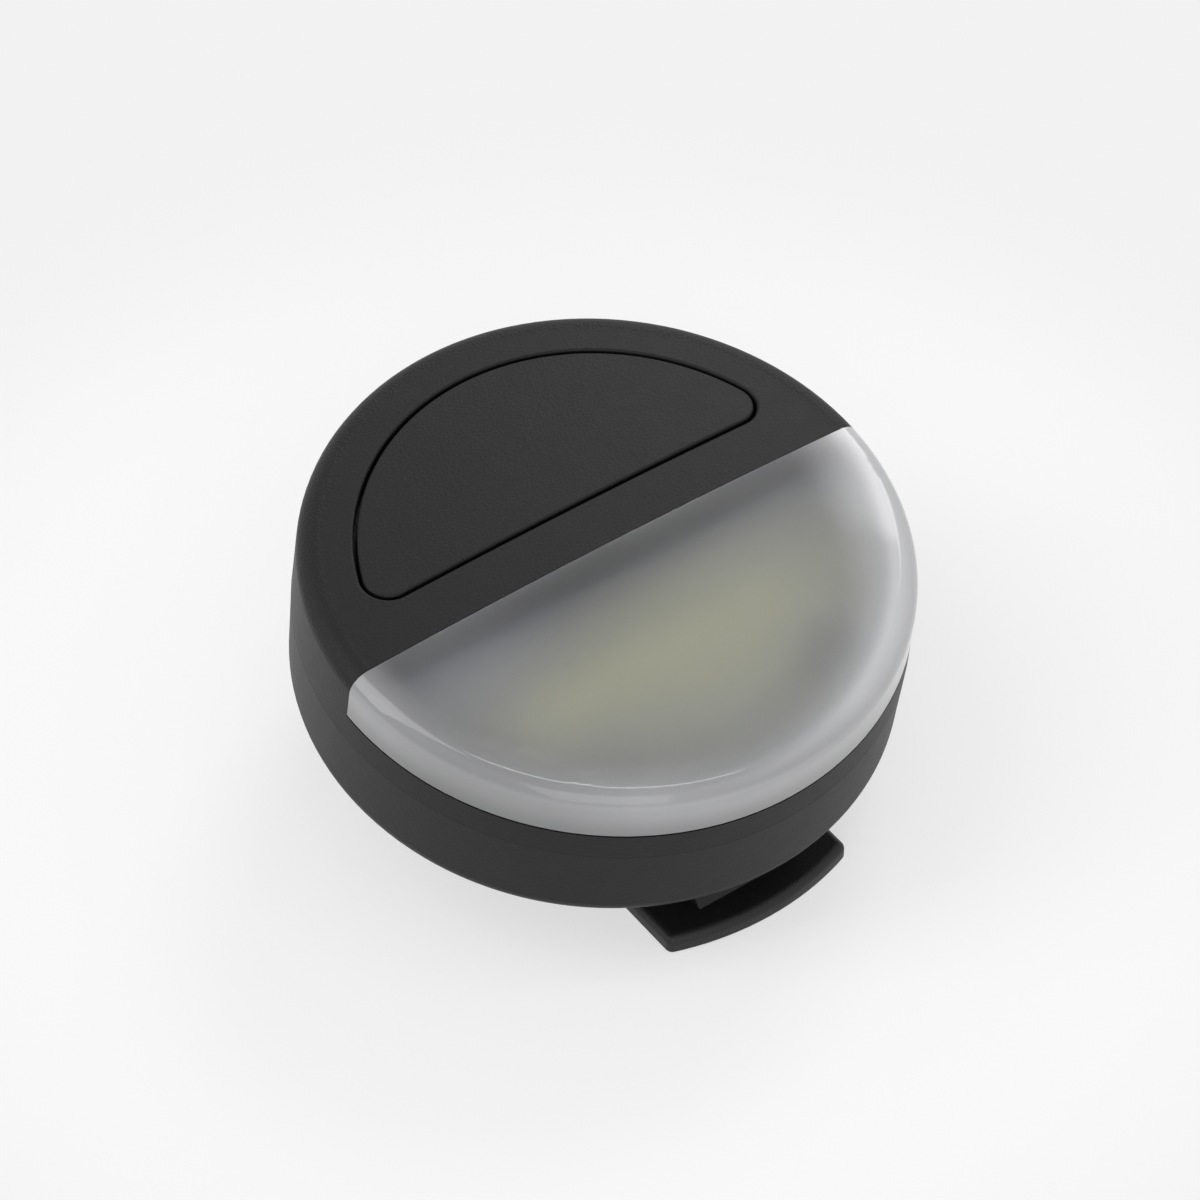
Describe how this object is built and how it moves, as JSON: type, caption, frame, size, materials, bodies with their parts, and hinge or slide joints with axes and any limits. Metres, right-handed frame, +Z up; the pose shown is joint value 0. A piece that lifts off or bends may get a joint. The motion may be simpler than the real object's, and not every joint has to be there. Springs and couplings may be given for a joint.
{
  "type": "clip-on safety light",
  "caption": "Round clip-on light with a half-moon frosted lens, a half-moon push button, a sprung clip and a covered charging socket.",
  "frame": {"origin": "on the clip's flat back, straight below the centre of the puck's underside", "axes": "+Z up from the clip's flat back, -Y towards the clip's open tip and the lens, +X along the line between the lens and the button"},
  "size_m": [0.044, 0.0448, 0.0242],
  "materials": {
    "case": "fine matt moulded grain",
    "button": "fine matt moulded grain",
    "clip": "satin, springy moulding",
    "lens": "frosted inside, smooth outside",
    "silicone": "matt silicone",
    "flap": "matt silicone",
    "board": "solder mask",
    "switch": "moulded",
    "plunger": "moulded",
    "steel": "bright",
    "screws": "dark plated",
    "chips": "moulded",
    "passives": "fired",
    "led_carrier": "off-white mask",
    "led_band": "phosphor in silicone",
    "reflector": "satin",
    "cell": "foil pouch",
    "foam": "closed-cell foam",
    "leads": "insulated wire",
    "tongue": "moulded"
  },
  "bodies": {
    "case": {"top_housing": "case", "bottom_housing": "case", "lens": "lens", "button_membrane": "silicone", "circuit_board": "board", "switch_base": "switch", "switch_cover": "steel", "board_chips": "chips", "board_passives": "passives", "led_strip": "led_carrier", "led_band": "led_band", "reflector": "reflector", "battery_cell": "cell", "battery_pad": "foam", "battery_leads": "leads", "usb_shell": "steel", "usb_tongue": "tongue", "flap_tether": "flap", "case_gasket": "silicone", "case_screws": "screws"},
    "button": {"button": "button"},
    "plunger": {"switch_plunger": "plunger"},
    "flap": {"usb_flap": "flap"},
    "clip": {"clip": "clip"}
  },
  "joints": [
    {"name": "button_press", "type": "slide", "parent": "case", "child": "button", "axis": [0, 0.1409, -0.99], "range_m": [0, 0.00035], "stiffness_N_per_m": 4200, "springref_m": -0.00013, "deforming": ["button_membrane"]},
    {"name": "plunger_press", "type": "slide", "parent": "case", "child": "plunger", "axis": [0, 0.1409, -0.99], "range_m": [0, 0.00035]},
    {"name": "clip_flex", "type": "hinge", "parent": "case", "child": "clip", "pos_m": [0, 0.01729, 0.01084], "axis": [1, 0, 0], "range_deg": [0, 6], "stiffness_Nm_per_rad": 1},
    {"name": "flap_hinge", "type": "hinge", "parent": "case", "child": "flap", "pos_m": [0.00635, 0.0203, 0.01457], "axis": [0, 0.1409, -0.99], "range_deg": [0, 100]}
  ],
  "couplings": [
    {"joint": "plunger_press", "follows": "button_press", "ratio": 1}
  ]
}
